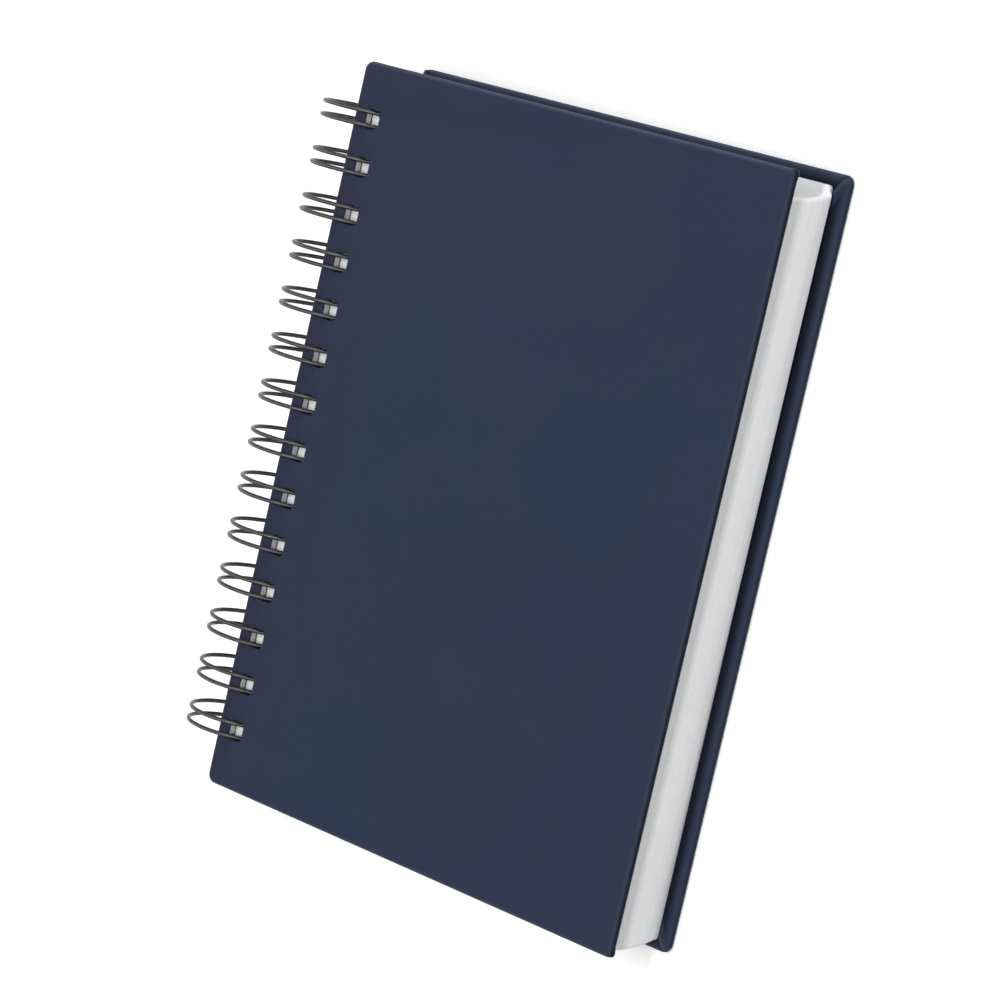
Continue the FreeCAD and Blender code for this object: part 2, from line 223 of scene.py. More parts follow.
class Shader(Tree):
    """A material's node tree, ready for its surface."""

    def __init__(self, name: str) -> None:
        """Makes an empty material.

        Args:
            name: the material's name.
        """
        self.material = bpy.data.materials.new(name)
        self.material.use_nodes = True
        super().__init__(self.material.node_tree)
        self.nodes.nodes.clear()
        self.place = self.add("ShaderNodeTexCoord", output="Object")

    def noise(self, scale: float, detail: float = 2.0, stretch: Sequence[float] = (1, 1, 1)) -> Value:
        """Adds a noise pattern in the object's own coordinates.

        Args:
            scale: cells for each metre.
            detail: octaves.
            stretch: how much finer the pattern is along each axis.

        Returns:
            The pattern, about 0 to 1.
        """
        where = self.add("ShaderNodeMapping", {}, {"Vector": self.place, "Scale": tuple(stretch)})
        inputs = {"Vector": where, "Scale": scale, "Detail": detail}
        return self.add("ShaderNodeTexNoise", {}, inputs, "Fac")

    def mix(self, factor: Any, first: Any, second: Any) -> Value:
        """Mixes two colours.

        Args:
            factor: 0 for the first, 1 for the second.
            first: a colour or a socket.
            second: a colour or a socket.

        Returns:
            The mixed colour.
        """
        pair = [c if isinstance(c, Value) else (*c, 1.0) for c in (first, second)]
        inputs = {"Factor_Float": factor, "A_Color": pair[0], "B_Color": pair[1]}
        return self.add("ShaderNodeMix", {"data_type": "RGBA"}, inputs, "Result_Color")

    def attribute(self, name: str) -> Value:
        """Reads a mesh attribute as a number."""
        return self.add("ShaderNodeAttribute", {"attribute_name": name}, {}, "Fac")

    def bump(self, height: Value, depth: float, strength: float, normal: Value | None = None) -> Value:
        """Adds relief.

        Args:
            height: the relief, 0 to 1.
            depth: what 1 is, in metres.
            strength: how much of it shows.
            normal: relief that this one is added to.

        Returns:
            The bent normal.
        """
        inputs: dict[int | str, Any] = {"Height": height, "Distance": depth, "Strength": strength}
        if normal is not None:
            inputs["Normal"] = normal
        return self.add("ShaderNodeBump", {}, inputs, "Normal")

    def finish(self, inputs: dict[int | str, Any]) -> bpy.types.Material:
        """Adds the surface and the output.

        Args:
            inputs: values and sockets of the surface shader.

        Returns:
            The material.
        """
        surface = self.add("ShaderNodeBsdfPrincipled", {}, inputs)
        self.add("ShaderNodeOutputMaterial", {}, {"Surface": surface})
        return self.material


# Finishes
@dataclass(frozen=True)
class Leatherette:
    """The covers' navy leatherette: fine grain, a painted highlight with some wear where it bends over an
    edge, painted shade on the sides, and a painted paler violet glow near the spine.
    """

    deep: Colour = (0.0198, 0.0328, 0.0588)
    pale: Colour = (0.0234, 0.0384, 0.0680)
    violet: Colour = (0.0300, 0.0322, 0.0622)
    # worn: the pale colour of the edge bends, a painted highlight with some wear.
    worn: Colour = (0.085, 0.098, 0.132)
    shade: Colour = (0.0020, 0.0034, 0.0090)
    spine_glow_reach: float = 0.040
    spine_glow_fade: float = 0.022
    grain: float = 2300.0
    roughness: float = 0.58
    specular: float = 0.10

    def make(self) -> bpy.types.Material:
        """Builds the material."""
        shader = Shader("leatherette")
        mottle = shader.noise(900.0, 4.0)
        ground = shader.mix(shader.noise(24.0, 3.0) * 0.6 + mottle * 0.4, self.deep, self.pale)
        drift = ((shader.noise(13.0, 2.0) - 0.42) * 2.4).clamp()
        parts = shader.add("ShaderNodeSeparateXYZ", {}, {0: shader.place})
        # Painted light: a paler violet glow towards the spine. The violet also comes in at random through the
        # drift.
        spine = ((parts + self.spine_glow_reach) / -self.spine_glow_fade).clamp()
        ground = shader.mix((drift * 0.6 + spine * 0.5).clamp(), ground, self.violet)
        # Painted highlight on the edge bends, patchy like wear, in the worn colour.
        painted_sheen = (shader.attribute("edge") * shader.noise(260.0, 4.0).between(0.35, 1.15)).clamp()
        colour = shader.mix(painted_sheen * 0.6, ground, self.worn)
        # Painted shade on the cover's sides, the slots' walls, the inner margin by the leaves and the folds'
        # creases.
        colour = shader.mix(shader.attribute("wall") * 0.85, colour, self.shade)
        cells = {"Vector": shader.place, "Scale": self.grain}
        pebble = shader.add("ShaderNodeTexVoronoi", {}, cells, "Distance")
        pores = shader.noise(self.grain * 2.4, 3.0)
        relief = shader.bump(pebble * 0.7 + pores * 0.3, 0.00006, 0.35)
        wave = shader.bump(shader.noise(45.0, 1.0), 0.0008, 0.10, relief)
        rough = (mottle.between(-0.05, 0.06) + self.roughness).clamp()
        inputs = {"Base Color": colour, "Roughness": rough, "Normal": wave}
        return shader.finish({**inputs, "IOR": 1.46, "Specular IOR Level": self.specular})


@dataclass(frozen=True)
class CutBoard:
    """The greyboard, pressed in thin layers that show where it is cut, with painted shadow towards each
    slot's ends.
    """

    light: Colour = (0.84, 0.84, 0.83)
    dark: Colour = (0.46, 0.46, 0.465)
    painted_slot_shadow: Colour = (0.010, 0.010, 0.012)
    wire_gap: float = 0.0012
    wire_fade: float = 0.0004

    def make(self) -> bpy.types.Material:
        """Builds the material."""
        shader = Shader("greyboard")
        layers = shader.noise(1.0, 3.0, (500.0, 500.0, 5200.0))
        specks = shader.noise(1800.0, 2.0)
        colour = shader.mix((layers * 0.75 + specks * 0.25).clamp(), self.dark, self.light)
        # Painted shadow: the board is black except within the wires' span at each loop, which shows at the
        # slots' ends beyond the wires.
        rows = shader.add("ShaderNodeSeparateXYZ", {}, {0: shader.place}, "Y") / Binding.pitch
        off = rows.math("FRACT") - 0.5
        ends = ((off.math("ABSOLUTE") * Binding.pitch - self.wire_gap) / self.wire_fade).clamp()
        colour = shader.mix(ends, colour, self.painted_slot_shadow)
        relief = shader.bump(layers, 0.0001, 0.5)
        return shader.finish({"Base Color": colour, "Roughness": 0.92, "Normal": relief})


@dataclass(frozen=True)
class LeafPaper:
    """The leaves' white paper, with the lines of the stack along its cut edges."""

    light: Colour = (0.86, 0.865, 0.87)
    dark: Colour = (0.54, 0.545, 0.56)

    def make(self) -> bpy.types.Material:
        """Builds the material."""
        shader = Shader("leaf_paper")
        leaves = shader.noise(1.0, 2.0, (14.0, 14.0, 900.0))
        worn = shader.noise(1.0, 2.0, (30.0, 30.0, 700.0)).between(0.7, 1.2)
        edge = shader.attribute("cut_edge")
        lines = ((0.60 - leaves) * 1.4).clamp() * 0.18
        tone = (shader.attribute("tone") * worn + lines).clamp()
        colour = shader.mix(edge * tone, self.light, self.dark)
        fibres = shader.noise(2600.0, 4.0)
        relief = shader.bump(fibres, 0.00002, 0.3)
        return shader.finish({"Base Color": colour, "Roughness": 0.88, "Normal": relief})


@dataclass(frozen=True)
class LiningPaper:
    """The dark paper pasted inside each cover."""

    light: Colour = (0.030, 0.036, 0.052)
    dark: Colour = (0.018, 0.022, 0.034)

    def make(self) -> bpy.types.Material:
        """Builds the material."""
        shader = Shader("lining_paper")
        fibres = shader.noise(1.0, 4.0, (900.0, 2600.0, 900.0))
        colour = shader.mix(fibres, self.dark, self.light)
        relief = shader.bump(fibres, 0.00004, 0.4)
        return shader.finish({"Base Color": colour, "Roughness": 0.8, "Normal": relief})


@dataclass(frozen=True)
class CoatedWire:
    """The wire's thin dark coating over steel, with a painted highlight line along the inside and outside of
    each loop.
    """

    colour: Colour = (0.010, 0.010, 0.011)
    painted_highlight: Colour = (0.180, 0.175, 0.165)
    roughness: float = 0.28
    specular: float = 0.22

    def make(self) -> bpy.types.Material:
        """Builds the material."""
        shader = Shader("coated_wire")
        # Painted highlight: the crown, the side of the wire facing across the loop, gets a pale line.
        painted_sheen = (shader.attribute("crown") * shader.noise(420.0, 3.0).between(0.45, 1.35)).clamp()
        colour = shader.mix(painted_sheen, self.colour, self.painted_highlight)
        rough = (shader.noise(700.0, 3.0).between(-0.06, 0.10) + self.roughness).clamp()
        relief = shader.bump(shader.noise(2400.0, 2.0), 0.00001, 0.4)
        inputs = {"Base Color": colour, "Roughness": rough, "Normal": relief}
        return shader.finish({**inputs, "Specular IOR Level": self.specular})


@dataclass(frozen=True)
class StudioFloor:
    """The pale floor: white to the camera, and still shaded under the notebook."""

    colour: Colour = (0.90, 0.90, 0.90)
    lift: float = 0.30

    def make(self) -> bpy.types.Material:
        """Builds the material."""
        shader = Shader("studio_floor")
        seen = shader.background_share()
        speckle = shader.noise(60.0, 2.0)
        colour = shader.mix(speckle * 0.02, self.colour, (0.88, 0.88, 0.88))
        matt = shader.add("ShaderNodeBsdfDiffuse", {}, {"Color": colour})
        glow = shader.add("ShaderNodeEmission", {}, {"Strength": seen * self.lift})
        both = shader.add("ShaderNodeAddShader", {}, {0: matt, 1: glow})
        shader.add("ShaderNodeOutputMaterial", {}, {"Surface": both})
        return shader.material


# Mesh helpers
def new_object(name: str, data: bpy.types.ID) -> bpy.types.Object:
    """Puts a mesh, a lamp or a camera in the scene at the origin.

    Args:
        name: the object's name.
        data: its mesh, lamp or camera.

    Returns:
        The object.
    """
    thing = bpy.data.objects.new(name, data)
    bpy.context.scene.collection.objects.link(thing)
    return thing


class Draft:
    """A mesh while it is put together."""

    def __init__(self) -> None:
        """Starts an empty mesh."""
        self.bm = bmesh.new()

    def outline(self, points: Iterable[Point], z: float = 0.0) -> list[Any]:
        """Adds a closed outline of vertices and edges.

        Args:
            points: the outline.
            z: its height.

        Returns:
            The vertices.
        """
        verts = [self.bm.verts.new((x, y, z)) for x, y in points]
        for pair in zip(verts, verts[1:] + verts[:1]):
            self.bm.edges.new(pair)
        return verts

    def bridge(self, outlines: Sequence[list[Any]]) -> None:
        """Adds the faces between each outline and the next.

        Args:
            outlines: the vertices of outlines with as many points.
        """
        for first, second in zip(outlines, outlines[1:]):
            for index, vert in enumerate(first):
                after = (index + 1) % len(first)
                self.bm.faces.new((vert, first[after], second[after], second[index]))

    def fill(self, outlines: Sequence[list[Any]]) -> None:
        """Fills the flat area between outlines.

        Args:
            outlines: the vertices of the area's borders.
        """
        pairs = [pair for verts in outlines for pair in zip(verts, verts[1:] + verts[:1])]
        edges = [self.bm.edges.get(pair) for pair in pairs]
        bmesh.ops.triangle_fill(self.bm, use_beauty=True, edges=edges)

    def wedge(self, top: list[list[Any]], bottom: list[list[Any]]) -> None:
        """Adds the faces of two grids and the walls between their borders.

        Args:
            top: the upper grid's vertices.
            bottom: the lower grid's, as many.
        """
        rows, columns = len(top), len(top[0])
        for grid in (top, bottom):
            for i in range(rows - 1):
                for j in range(columns - 1):
                    self.bm.faces.new((grid[i][j], grid[i][j + 1], grid[i + 1][j + 1], grid[i + 1][j]))
        border = [(0, j) for j in range(columns)] + [(i, columns - 1) for i in range(1, rows)]
        border += [(rows - 1, j) for j in range(columns - 2, -1, -1)]
        border += [(i, 0) for i in range(rows - 2, 0, -1)]
        for (i, j), (k, m) in zip(border, border[1:] + border[:1]):
            self.bm.faces.new((top[i][j], top[k][m], bottom[k][m], bottom[i][j]))

    def mesh(self, name: str, outward: bool = True) -> bpy.types.Mesh:
        """Ends the draft.

        Args:
            name: the mesh's name.
            outward: whether its faces are turned outwards.

        Returns:
            The mesh.
        """
        if outward:
            bmesh.ops.recalc_face_normals(self.bm, faces=self.bm.faces)
        mesh = bpy.data.meshes.new(name)
        self.bm.to_mesh(mesh)
        self.bm.free()
        return mesh


def write_attribute(mesh: bpy.types.Mesh, name: str, values: list[float]) -> None:
    """Gives every vertex a number.

    Args:
        mesh: the mesh.
        name: the attribute's name.
        values: the numbers, in the vertices' order.
    """
    mesh.attributes.new(name, "FLOAT", "POINT").data.foreach_set("value", values)


def rounded_outline(
    left: float, right: float, low: float, high: float, radius: float, steps: int, right_radius: float = 0.0
) -> list[Point]:
    """Gives a rectangle with rounded corners, counter-clockwise from the lower right corner.

    Args:
        left: lowest X.
        right: highest X.
        low: lowest Y.
        high: highest Y.
        radius: corner radius.
        steps: segments in each corner.
        right_radius: the radius of the two corners on the right, where it differs.

    Returns:
        The outline's points.
    """
    other = right_radius or radius
    centres = (
        (right - other, low + other, -90.0, other),
        (right - other, high - other, 0.0, other),
        (left + radius, high - radius, 90.0, radius),
        (left + radius, low + radius, 180.0, radius),
    )
    points = []
    for x, y, start, bow in centres:
        for step in range(steps + 1):
            turn = math.radians(start + 90.0 * step / steps)
            points.append((x + bow * math.cos(turn), y + bow * math.sin(turn)))
    return points


def smooth(value: float) -> float:
    """Eases a value from 0 to 1 without corners."""
    held = min(1.0, max(0.0, value))
    return held * held * (3 - 2 * held)


def shade_by_angle(thing: bpy.types.Object, degrees: float) -> None:
    """Shades a mesh smooth, and flat across its sharp edges.

    Args:
        thing: the object.
        degrees: the angle from which an edge is sharp.
    """
    thing.data.shade_smooth()
    thing.data.set_sharp_from_angle(angle=math.radians(degrees))


def quarter_turn(steps: int) -> list[float]:
    """Gives the angles that divide a quarter turn into equal steps."""
    return [math.pi / 2 * step / steps for step in range(steps + 1)]


def bell(value: float, width: float) -> float:
    """Gives 1 at 0, falling off smoothly over a width on both sides."""
    return math.exp(-((value / width) ** 2))


# Sizes that several pieces share
@dataclass(frozen=True)
class Binding:
    """The row of twin loops and the slots and holes that it passes through."""

    loops: int = 14
    pitch: float = 12.7 * MM
    ring_radius: float = 14.2 * MM
    wire_radius: float = 0.55 * MM
    twin_spacing: float = 3.6 * MM
    elbow: float = 1.1 * MM
    seam_clearance: float = 0.3 * MM
    axis_outset: float = 2.857 * MM
    slot_inset: float = 4.4 * MM

    @property
    def axis(self) -> Vector:
        """Gives a point on the line through the middle of every loop."""
        low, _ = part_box("front_wrap")
        return Vector((low.x - self.axis_outset, 0.0, self.ring_radius + self.wire_radius))

    @property
    def slot_left(self) -> float:
        """Gives the X where the slots of both covers start."""
        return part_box("front_wrap")[0].x + self.slot_inset

    @property
    def middles(self) -> list[float]:
        """Gives the Y of the middle of each loop."""
        first = -self.pitch * (self.loops - 1) / 2
        return [first + self.pitch * index for index in range(self.loops)]

    @property
    def half_inside(self) -> float:
        """Gives half of the room between the covers."""
        return (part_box("front_wrap")[0].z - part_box("back_wrap")[1].z) / 2


@dataclass
class Cover:
    """A board wrapped in leatherette, with its turned-in edges, folded corners and slots."""

    side: Side
    binding: Binding
    corner: float = 2.4 * MM
    tight_corner: float = 1.5 * MM
    edge: float = 0.9 * MM
    wrap: float = 0.3 * MM
    turn_in: float = 12.0 * MM
    slot_width: float = 4.868 * MM
    slot_height: float = 5.1 * MM
    slot_corner: float = 1.2 * MM
    slot_steps: int = 4
    rim: float = 0.14 * MM
    support: float = 0.35 * MM
    # Painted shade on the inner face near the leaves: each inset with its share.
    margin: tuple[Point, ...] = ((2.0 * MM, 0.5), (2.8 * MM, 0.9))
    corner_steps: int = 14
    bend_steps: int = 7
    fold_lift: float = 0.34 * MM
    fold_bulge: float = 0.30 * MM
    fold_reach: float = 3.2 * MM
    fold_spread: float = 0.55
    fold_bulge_at: tuple[float, float] = (1.2 * MM, 1.1 * MM)
    fold_sway: float = 1.4 * MM
    fold_sway_at: tuple[float, float] = (1.6 * MM, 2.8 * MM)
    fold_rows: int = 22
    fold_shares: tuple[float, ...] = (
        *(0.0, 0.04, 0.08, 0.12, 0.16, 0.20, 0.25),
        *(0.31, 0.38, 0.46, 0.55, 0.66, 0.82, 1.0),
    )
    fold_gap: float = 0.03 * MM
    crease: float = 0.60 * MM
    notch: float = 9.0
    weld: float = 1e-7
    low: Vector = field(init=False)
    high: Vector = field(init=False)

    def __post_init__(self) -> None:
        """Reads the cover's place from the frame."""
        self.low, self.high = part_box(f"{self.side.label}_wrap")

    @property
    def thickness(self) -> float:
        """Gives the cover's thickness."""
        return self.high.z - self.low.z

    def level(self, depth: float) -> float:
        """Gives the Z of a depth below the cover's outer face.

        Args:
            depth: distance from the outer face towards the leaves.

        Returns:
            The height in the frame.
        """
        outer = self.high.z if self.side is Side.FRONT else self.low.z
        return outer + self.side.inward * depth

    def radius_at(self, side: float) -> float:
        """Gives the radius of the cover's corners at the spine, or at the fore-edge where side is above 0."""
        return self.tight_corner if side > 0 and self.side is Side.FRONT else self.corner

    def offsets(self, place: Vector) -> tuple[float, float, float]:
        """Gives a place's distances from the nearest side, the nearest end, and that corner's radius."""
        x_off = min(place.x - self.low.x, self.high.x - place.x)
        y_off = min(place.y - self.low.y, self.high.y - place.y)
        return x_off, y_off, self.radius_at(place.x)

    def outline(self, inset: float) -> list[Point]:
        """Gives the cover's outline, moved inwards.

        Args:
            inset: distance from the cover's edge.

        Returns:
            The outline's points.
        """
        left, right = (max(self.radius_at(sign) - inset, 0.02 * MM) for sign in (-1, 1))
        sides = (self.low.x + inset, self.high.x - inset, self.low.y + inset, self.high.y - inset)
        return rounded_outline(*sides, left, self.corner_steps, right)

    def slot_outline(self, middle: float, grow: float) -> list[Point]:
        """Gives a slot's outline.

        Args:
            middle: the Y of the slot's middle.
            grow: how far the outline is moved outwards.

        Returns:
            The outline's points.
        """
        left = self.binding.slot_left - grow
        right = self.binding.slot_left + self.slot_width + grow
        half = self.slot_height / 2 + grow
        corner = self.slot_corner + grow
        return rounded_outline(left, right, middle - half, middle + half, corner, self.slot_steps)

    def bend(self, radius: float, outer: bool) -> list[Point]:
        """Gives the profile of a bend round the board's edge, as pairs of inset and depth.

        Args:
            radius: the bend's radius.
            outer: whether it is at the outer face, else at the inner one.

        Returns:
            The profile from the face to the side, or from the side to the face.
        """
        edge, turns = self.edge, quarter_turn(self.bend_steps)
        points = [(edge - radius * math.sin(turn), edge - radius * math.cos(turn)) for turn in turns]
        if outer:
            return points
        return [(inset, self.thickness - depth) for inset, depth in reversed(points)]

    def profile(self) -> list[Point]:
        """Gives the wrap's section, from its outer face round the edge and back inside."""
        thick, inner = self.thickness, self.edge - self.wrap
        outside = [(self.edge + self.support, 0.0), *self.bend(self.edge, True)]
        outside += [*self.bend(self.edge, False), (self.edge + self.support, thick)]
        outside += [(inset, thick) for inset, _ in self.margin]
        lip = [
            (self.turn_in - self.rim, thick),
            (self.turn_in - 0.3 * self.rim, thick - 0.3 * self.rim),
            (self.turn_in, thick - self.rim),
            (self.turn_in, thick - self.wrap),
        ]
        under = [(self.edge + self.support, thick - self.wrap)]
        inside = [*reversed(self.bend(inner, False)), *reversed(self.bend(inner, True))]
        return [*outside, *lip, *under, *inside, (self.edge + self.support, self.wrap)]

    def add_slots(self, draft: Draft, cut: Cut) -> tuple[list[list[Any]], list[list[Any]]]:
        """Adds the slots' walls through one layer of the wrap.

        Args:
            draft: the wrap's mesh.
            cut: which layer.

        Returns:
            The slots' loops on the layer's face, and those on its underside.
        """
        face, turn = (0.0, 1) if cut is Cut.OUTER else (self.thickness, -1)
        steps = ((self.rim, 0.0), (0.3 * self.rim, 0.3 * self.rim), (0.0, self.rim), (0.0, self.wrap))
        faces, undersides = [], []
        for middle in self.binding.middles:
            loops = [
                draft.outline(self.slot_outline(middle, grow), self.level(face + turn * depth))
                for grow, depth in steps
            ]
            draft.bridge(loops)
            faces.append(loops[0])
            undersides.append(loops[-1])
        return faces, undersides

    def build_wrap(self) -> bpy.types.Object:
        """Builds the leatherette as one closed sheet.

        Returns:
            The wrap.
        """
        draft = Draft()
        profile = self.profile()
        loops = [draft.outline(self.outline(inset), self.level(depth)) for inset, depth in profile]
        lip = next(i for i, (inset, _) in enumerate(profile) if inset == self.turn_in - self.rim)
        inside = lip + 4
        for part in (loops[:lip], loops[lip:inside], loops[inside:]):
            draft.bridge(part)
        outer_faces, outer_unders = self.add_slots(draft, Cut.OUTER)
        inner_faces, inner_unders = self.add_slots(draft, Cut.TURN_IN)
        draft.fill([loops[0], *outer_faces])
        draft.fill([loops[-1], *outer_unders])
        draft.fill([loops[lip - 1], loops[lip], *inner_faces])
        draft.fill([loops[inside - 1], loops[inside], *inner_unders])
        bmesh.ops.remove_doubles(draft.bm, verts=draft.bm.verts, dist=self.weld)
        wrap = new_object(f"{self.side.label}_cover_wrap", draft.mesh(f"{self.side.label}_wrap"))
        for name, rule in (("edge", self.edge_sheen_share), ("wall", self.painted_shade_share)):
            write_attribute(wrap.data, name, [rule(vertex.co) for vertex in wrap.data.vertices])
        shade_by_angle(wrap, 40)
        return wrap

    def inset_of(self, place: Vector) -> float:
        """Gives a place's distance from the cover's edge, seen from above."""
        x_off, y_off, radius = self.offsets(place)
        if max(x_off, y_off) < radius:
            return radius - math.hypot(radius - x_off, radius - y_off)
        return min(x_off, y_off)

    def depth_of(self, place: Vector) -> float:
        """Gives a place's distance below the cover's outer face."""
        return (place.z - self.level(0.0)) * self.side.inward

    def end_share(self, place: Vector) -> float:
        """Gives 1 along the cover's head and tail and 0 along its sides, eased over the corners."""
        x_off, y_off, _ = self.offsets(place)
        return smooth(0.5 - (y_off - x_off) / self.corner)

    def edge_sheen_share(self, place: Vector) -> float:
        """Gives how much of the pale line a place has on the bends round the cover's edge: a painted
        highlight with some wear, strongest at the head and tail.
        """
        inset, depth = self.inset_of(place), self.depth_of(place)
        across = smooth(1.25 - inset / self.edge)
        outer = smooth(1.1 - depth / self.edge)
        inner = smooth(1.1 - (self.thickness - depth) / self.edge)
        # The painted highlight is stronger at the head and tail than along the sides, because the light falls
        # there.
        return across * (0.25 + 0.75 * self.end_share(place)) * max(outer, 0.8 * inner)

    def painted_shade_share(self, place: Vector) -> float:
        """Gives how much painted shade a place has: 1 half-way up a side and 0 on the faces, with painted
        shade also on the slots' walls, on the inner face by the leaves and at each corner's middle.
        """
        inset, depth = self.inset_of(place), self.depth_of(place)
        if inset > 2 * self.edge:
            # Painted shade on the inner face's margin, where the leaves shade it.
            if depth > self.thickness - 0.01 * MM:
                shares = (share for start, share in self.margin if abs(inset - start) < 0.05 * MM)
                return max(shares, default=0.0)
            # Painted shade on the slots' walls.
            return 1.0 if min(depth, self.thickness - depth) > 0.03 * MM else 0.0
        # The painted shade on the sides starts deeper at the head and tail, where the light falls.
        start = (0.35 + 0.5 * self.end_share(place)) * self.edge
        near = smooth((depth - start) / (0.6 * self.edge))
        far = smooth((self.thickness - start - depth) / (0.6 * self.edge))
        # The front cover's sides get the full painted shade, and the back cover's get less.
        strength = 1.0 if self.side is Side.FRONT else 0.35
        x_off, y_off, radius = self.offsets(place)
        # A painted dark mark at the middle of each corner's bend.
        if max(x_off, y_off) < radius:
            turn = math.degrees(math.atan2(radius - y_off, radius - x_off)) - 45
            notch = bell(turn, self.notch) * smooth((depth - 0.08 * self.edge) / (0.3 * self.edge))
            strength, near = max(strength, notch), max(near, notch)
        return strength * near * far * smooth(1.5 - inset / self.edge)

    def corner_place(self, inset: float, along: float, corner: Point) -> tuple[Vector, Vector]:
        """Gives a place near a corner, measured along the outline from the corner's middle.

        Args:
            inset: distance from the cover's edge.
            along: distance from the corner's middle, towards the middle of the fore-edge or spine,
                and below 0 towards that of the head or tail.
            corner: the signs of X and Y at the corner.

        Returns:
            The place, with Z left at 0, and the level direction out of the cover's edge there.
        """
        whole = self.radius_at(corner[0])
        radius = max(whole - inset, 0.0)
        arc = radius * math.pi / 4
        x_edge = self.high.x if corner[0] > 0 else self.low.x
        y_edge = self.high.y if corner[1] > 0 else self.low.y
        centre = max(whole, inset)
        off = abs(along)
        if off < arc:
            turn = math.pi / 4 - off / radius
            x_off, y_off = centre - radius * math.cos(turn), centre - radius * math.sin(turn)
        else:
            x_off, y_off = centre - radius, centre + off - arc
        if along < 0:
            x_off, y_off = y_off, x_off
        place = Vector((x_edge - corner[0] * x_off, y_edge - corner[1] * y_off, 0.0))
        turn = min(math.pi / 2, max(0.0, math.pi / 4 - along / max(whole - inset, 1e-6)))
        return place, Vector((corner[0] * math.cos(turn), corner[1] * math.sin(turn), 0.0))

    def fold_section(self) -> list[tuple[float, float, Point]]:
        """Gives the path of a folded corner across the edge: inset, depth and outward direction."""
        thick, edge = self.thickness, self.edge
        section = [(0.0, edge + (thick - 2 * edge) * step / 3, (1.0, 0.0)) for step in range(3)]
        for turn in quarter_turn(self.bend_steps):
            level, upright = math.cos(turn), math.sin(turn)
            section.append((edge - edge * level, thick - edge + edge * upright, (level, upright)))
        inner = self.turn_in - 1.2 * edge
        for step in range(1, self.fold_rows + 1):
            section.append((edge + (inner - edge) * step / self.fold_rows, thick, (0.0, 1.0)))
        return section

    def build_folds(self) -> bpy.types.Object:
        """Builds the four corner folds, where one turn-in lies over the next.

        Returns:
            The folds, as one mesh of thin closed wedges.
        """
        draft = Draft()
        painted_fold_tones: list[Point] = []
        for corner in ((1, 1), (1, -1), (-1, 1), (-1, -1)):
            grids = []
            for sunk in (False, True):
                spots = [
                    [self.fold_point(place, share, corner, sunk) for share in self.fold_shares]
                    for place in self.fold_section()
                ]
                painted_fold_tones += [tone for row in spots for _, tone in row]
                grids.append([[draft.bm.verts.new(spot) for spot, _ in row] for row in spots])
            draft.wedge(*grids)
        folds = new_object(f"{self.side.label}_cover_folds", draft.mesh(f"{self.side.label}_folds"))
        # The painted highlight goes into edge, and the painted crease shade into wall.
        for channel, name in enumerate(("edge", "wall")):
            write_attribute(folds.data, name, [tone[channel] for tone in painted_fold_tones])
        shade_by_angle(folds, 50)
        return folds

    def fold_point(
        self, place: tuple[float, float, Point], share: float, corner: Point, sunk: bool
    ) -> tuple[Vector, Point]:
        """Gives one point of a fold.

        Args:
            place: a point of the fold's section.
            share: 0 at the crease and 1 where the fold runs out.
            corner: the signs of X and Y at the corner.
            sunk: whether this is the underside, hidden in the turn-in.

        Returns:
            The point, with its shares of painted highlight and painted crease shade.
        """
        inset, depth, outward = place
        reach = self.fold_reach + self.fold_spread * inset
        sway = self.fold_sway * bell(inset - self.fold_sway_at[0], self.fold_sway_at[1])
        along = reach * share - sway
        off = reach * share
        fade = (1 - smooth(1.15 * share - 0.15)) * smooth((self.turn_in - inset) / (3 * self.edge))
        rise = smooth((off - 0.5 * self.crease) / (1.3 * self.crease))
        crown = bell(inset - self.fold_bulge_at[0], self.fold_bulge_at[1])
        swelling = self.fold_lift + self.fold_bulge * (crown * smooth(depth / self.thickness * 2 - 1))
        lift = -self.fold_gap if sunk else self.fold_gap + fade * rise * swelling
        low_wall = smooth((depth - 0.8 * self.edge) / self.edge)
        spot, ahead = self.corner_place(inset, along, corner)
        spot += ahead * (outward[0] * lift * low_wall)
        spot.z = self.level(depth + outward[1] * lift)
        # Painted shade along the crease, and a painted highlight on the ridge beside it.
        dark = 1 - smooth((off - self.crease) / (0.7 * self.crease))
        painted_ridge_highlight = bell(off - 2.6 * self.crease, self.crease)
        pale = painted_ridge_highlight * smooth(1.3 - inset / (6 * MM)) * smooth(2 * depth / self.thickness - 1)
        return spot, (0.8 * pale, max(dark, 0.0 if sunk else self.painted_shade_share(spot)))

    def make(self, leatherette: bpy.types.Material, finishes: dict[str, bpy.types.Material]) -> None:
        """Builds and dresses the cover.

        Args:
            leatherette: the wrap's finish.
            finishes: those of the board and the lining, by the end of the node's name.
        """
        body = f"{self.side.label}_cover"
        wrap, folds = self.build_wrap(), self.build_folds()
        for piece in (wrap, folds):
            piece.data.materials.append(leatherette)
            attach(piece, body)
        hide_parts(f"{self.side.label}_wrap")
        for role, material in finishes.items():
            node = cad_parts[f"{self.side.label}_{role}"]
            node.data.materials.clear()
            node.data.materials.append(material)
        log.info("%s cover: %d faces in the wrap", self.side.label, len(wrap.data.polygons))


